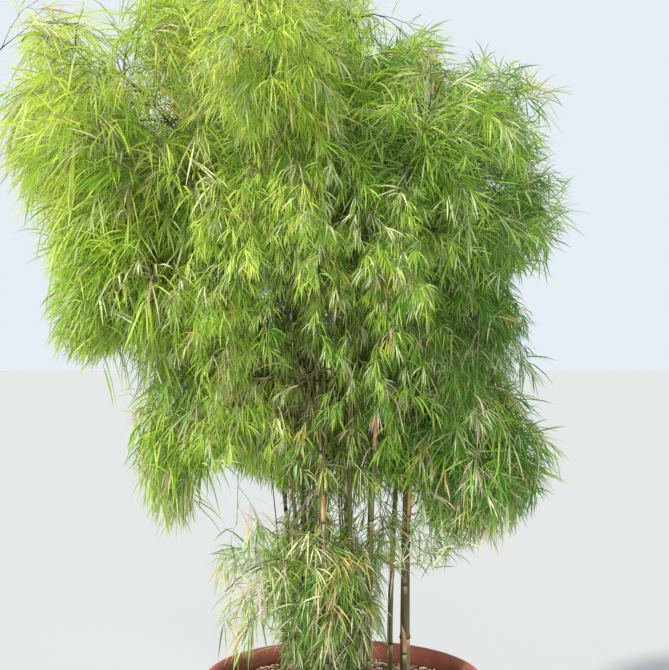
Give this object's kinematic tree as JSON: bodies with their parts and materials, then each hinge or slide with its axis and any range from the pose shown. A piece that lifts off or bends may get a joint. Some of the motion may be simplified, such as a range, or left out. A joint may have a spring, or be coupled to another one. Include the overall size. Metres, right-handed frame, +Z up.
{
  "type": "potted bamboo",
  "caption": "Weeping, fine-leaved bamboo clump with slender arching canes in a bellied terracotta pot with a rolled rim; stands on its flat underside.",
  "frame": {"origin": "centre of the pot's flat underside", "axes": "+Z up, +X to the viewer's right, the viewer stands on the -Y side"},
  "size_m": [1.6869, 1.6954, 2.6899],
  "materials": {
    "terracotta": "unglazed, matt, weathered",
    "soil": "damp soil with light chips",
    "cane": "smooth olive cane with nodes",
    "thick_cane": "smooth dark old cane",
    "leaf_bright": "satin sunlit leaves",
    "leaf_middle": "satin leaves",
    "leaf_deep": "satin shaded leaves"
  },
  "bodies": {
    "root": {"pot": "terracotta", "soil": "soil", "cane_arching_1": "cane", "bough_arching_1": "cane", "cane_arching_2": "cane", "bough_arching_2": "cane", "cane_arching_3": "cane", "bough_arching_3": "cane", "cane_arching_4": "cane", "bough_arching_4": "cane", "cane_arching_5": "cane", "bough_arching_5": "cane", "cane_arching_6": "cane", "bough_arching_6": "cane", "cane_arching_7": "cane", "bough_arching_7": "cane", "cane_arching_8": "cane", "bough_arching_8": "cane", "cane_upright_1": "cane", "cane_upright_2": "cane", "cane_upright_3": "cane", "cane_upright_4": "cane", "cane_upright_5": "cane", "cane_thick": "thick_cane", "foliage_arching_1_tip": "leaf_bright", "foliage_arching_1_upper": "leaf_middle", "foliage_arching_1_middle": "leaf_deep", "foliage_arching_2_tip": "leaf_bright", "foliage_arching_2_upper": "leaf_middle", "foliage_arching_2_middle": "leaf_deep", "foliage_arching_3_tip": "leaf_bright", "foliage_arching_3_upper": "leaf_middle", "foliage_arching_3_middle": "leaf_deep", "foliage_arching_4_tip": "leaf_bright", "foliage_arching_4_upper": "leaf_middle", "foliage_arching_4_middle": "leaf_deep", "foliage_arching_5_tip": "leaf_bright", "foliage_arching_5_upper": "leaf_middle", "foliage_arching_5_middle": "leaf_deep", "foliage_arching_6_tip": "leaf_bright", "foliage_arching_6_upper": "leaf_middle", "foliage_arching_6_middle": "leaf_deep", "foliage_arching_7_tip": "leaf_bright", "foliage_arching_7_upper": "leaf_middle", "foliage_arching_7_middle": "leaf_deep", "foliage_arching_8_tip": "leaf_bright", "foliage_arching_8_upper": "leaf_middle", "foliage_arching_8_middle": "leaf_deep", "foliage_upright_1_tip": "leaf_bright", "foliage_upright_2_tip": "leaf_bright", "foliage_upright_3_tip": "leaf_bright", "foliage_upright_4_tip": "leaf_bright", "foliage_upright_5_tip": "leaf_bright", "foliage_thick_tip": "leaf_bright", "foliage_left_bunch": "leaf_middle", "foliage_right_spray": "leaf_middle", "foliage_base_front": "leaf_middle", "foliage_base_left": "leaf_middle", "foliage_base_right": "leaf_middle", "foliage_base_back": "leaf_middle"}
  },
  "joints": []
}
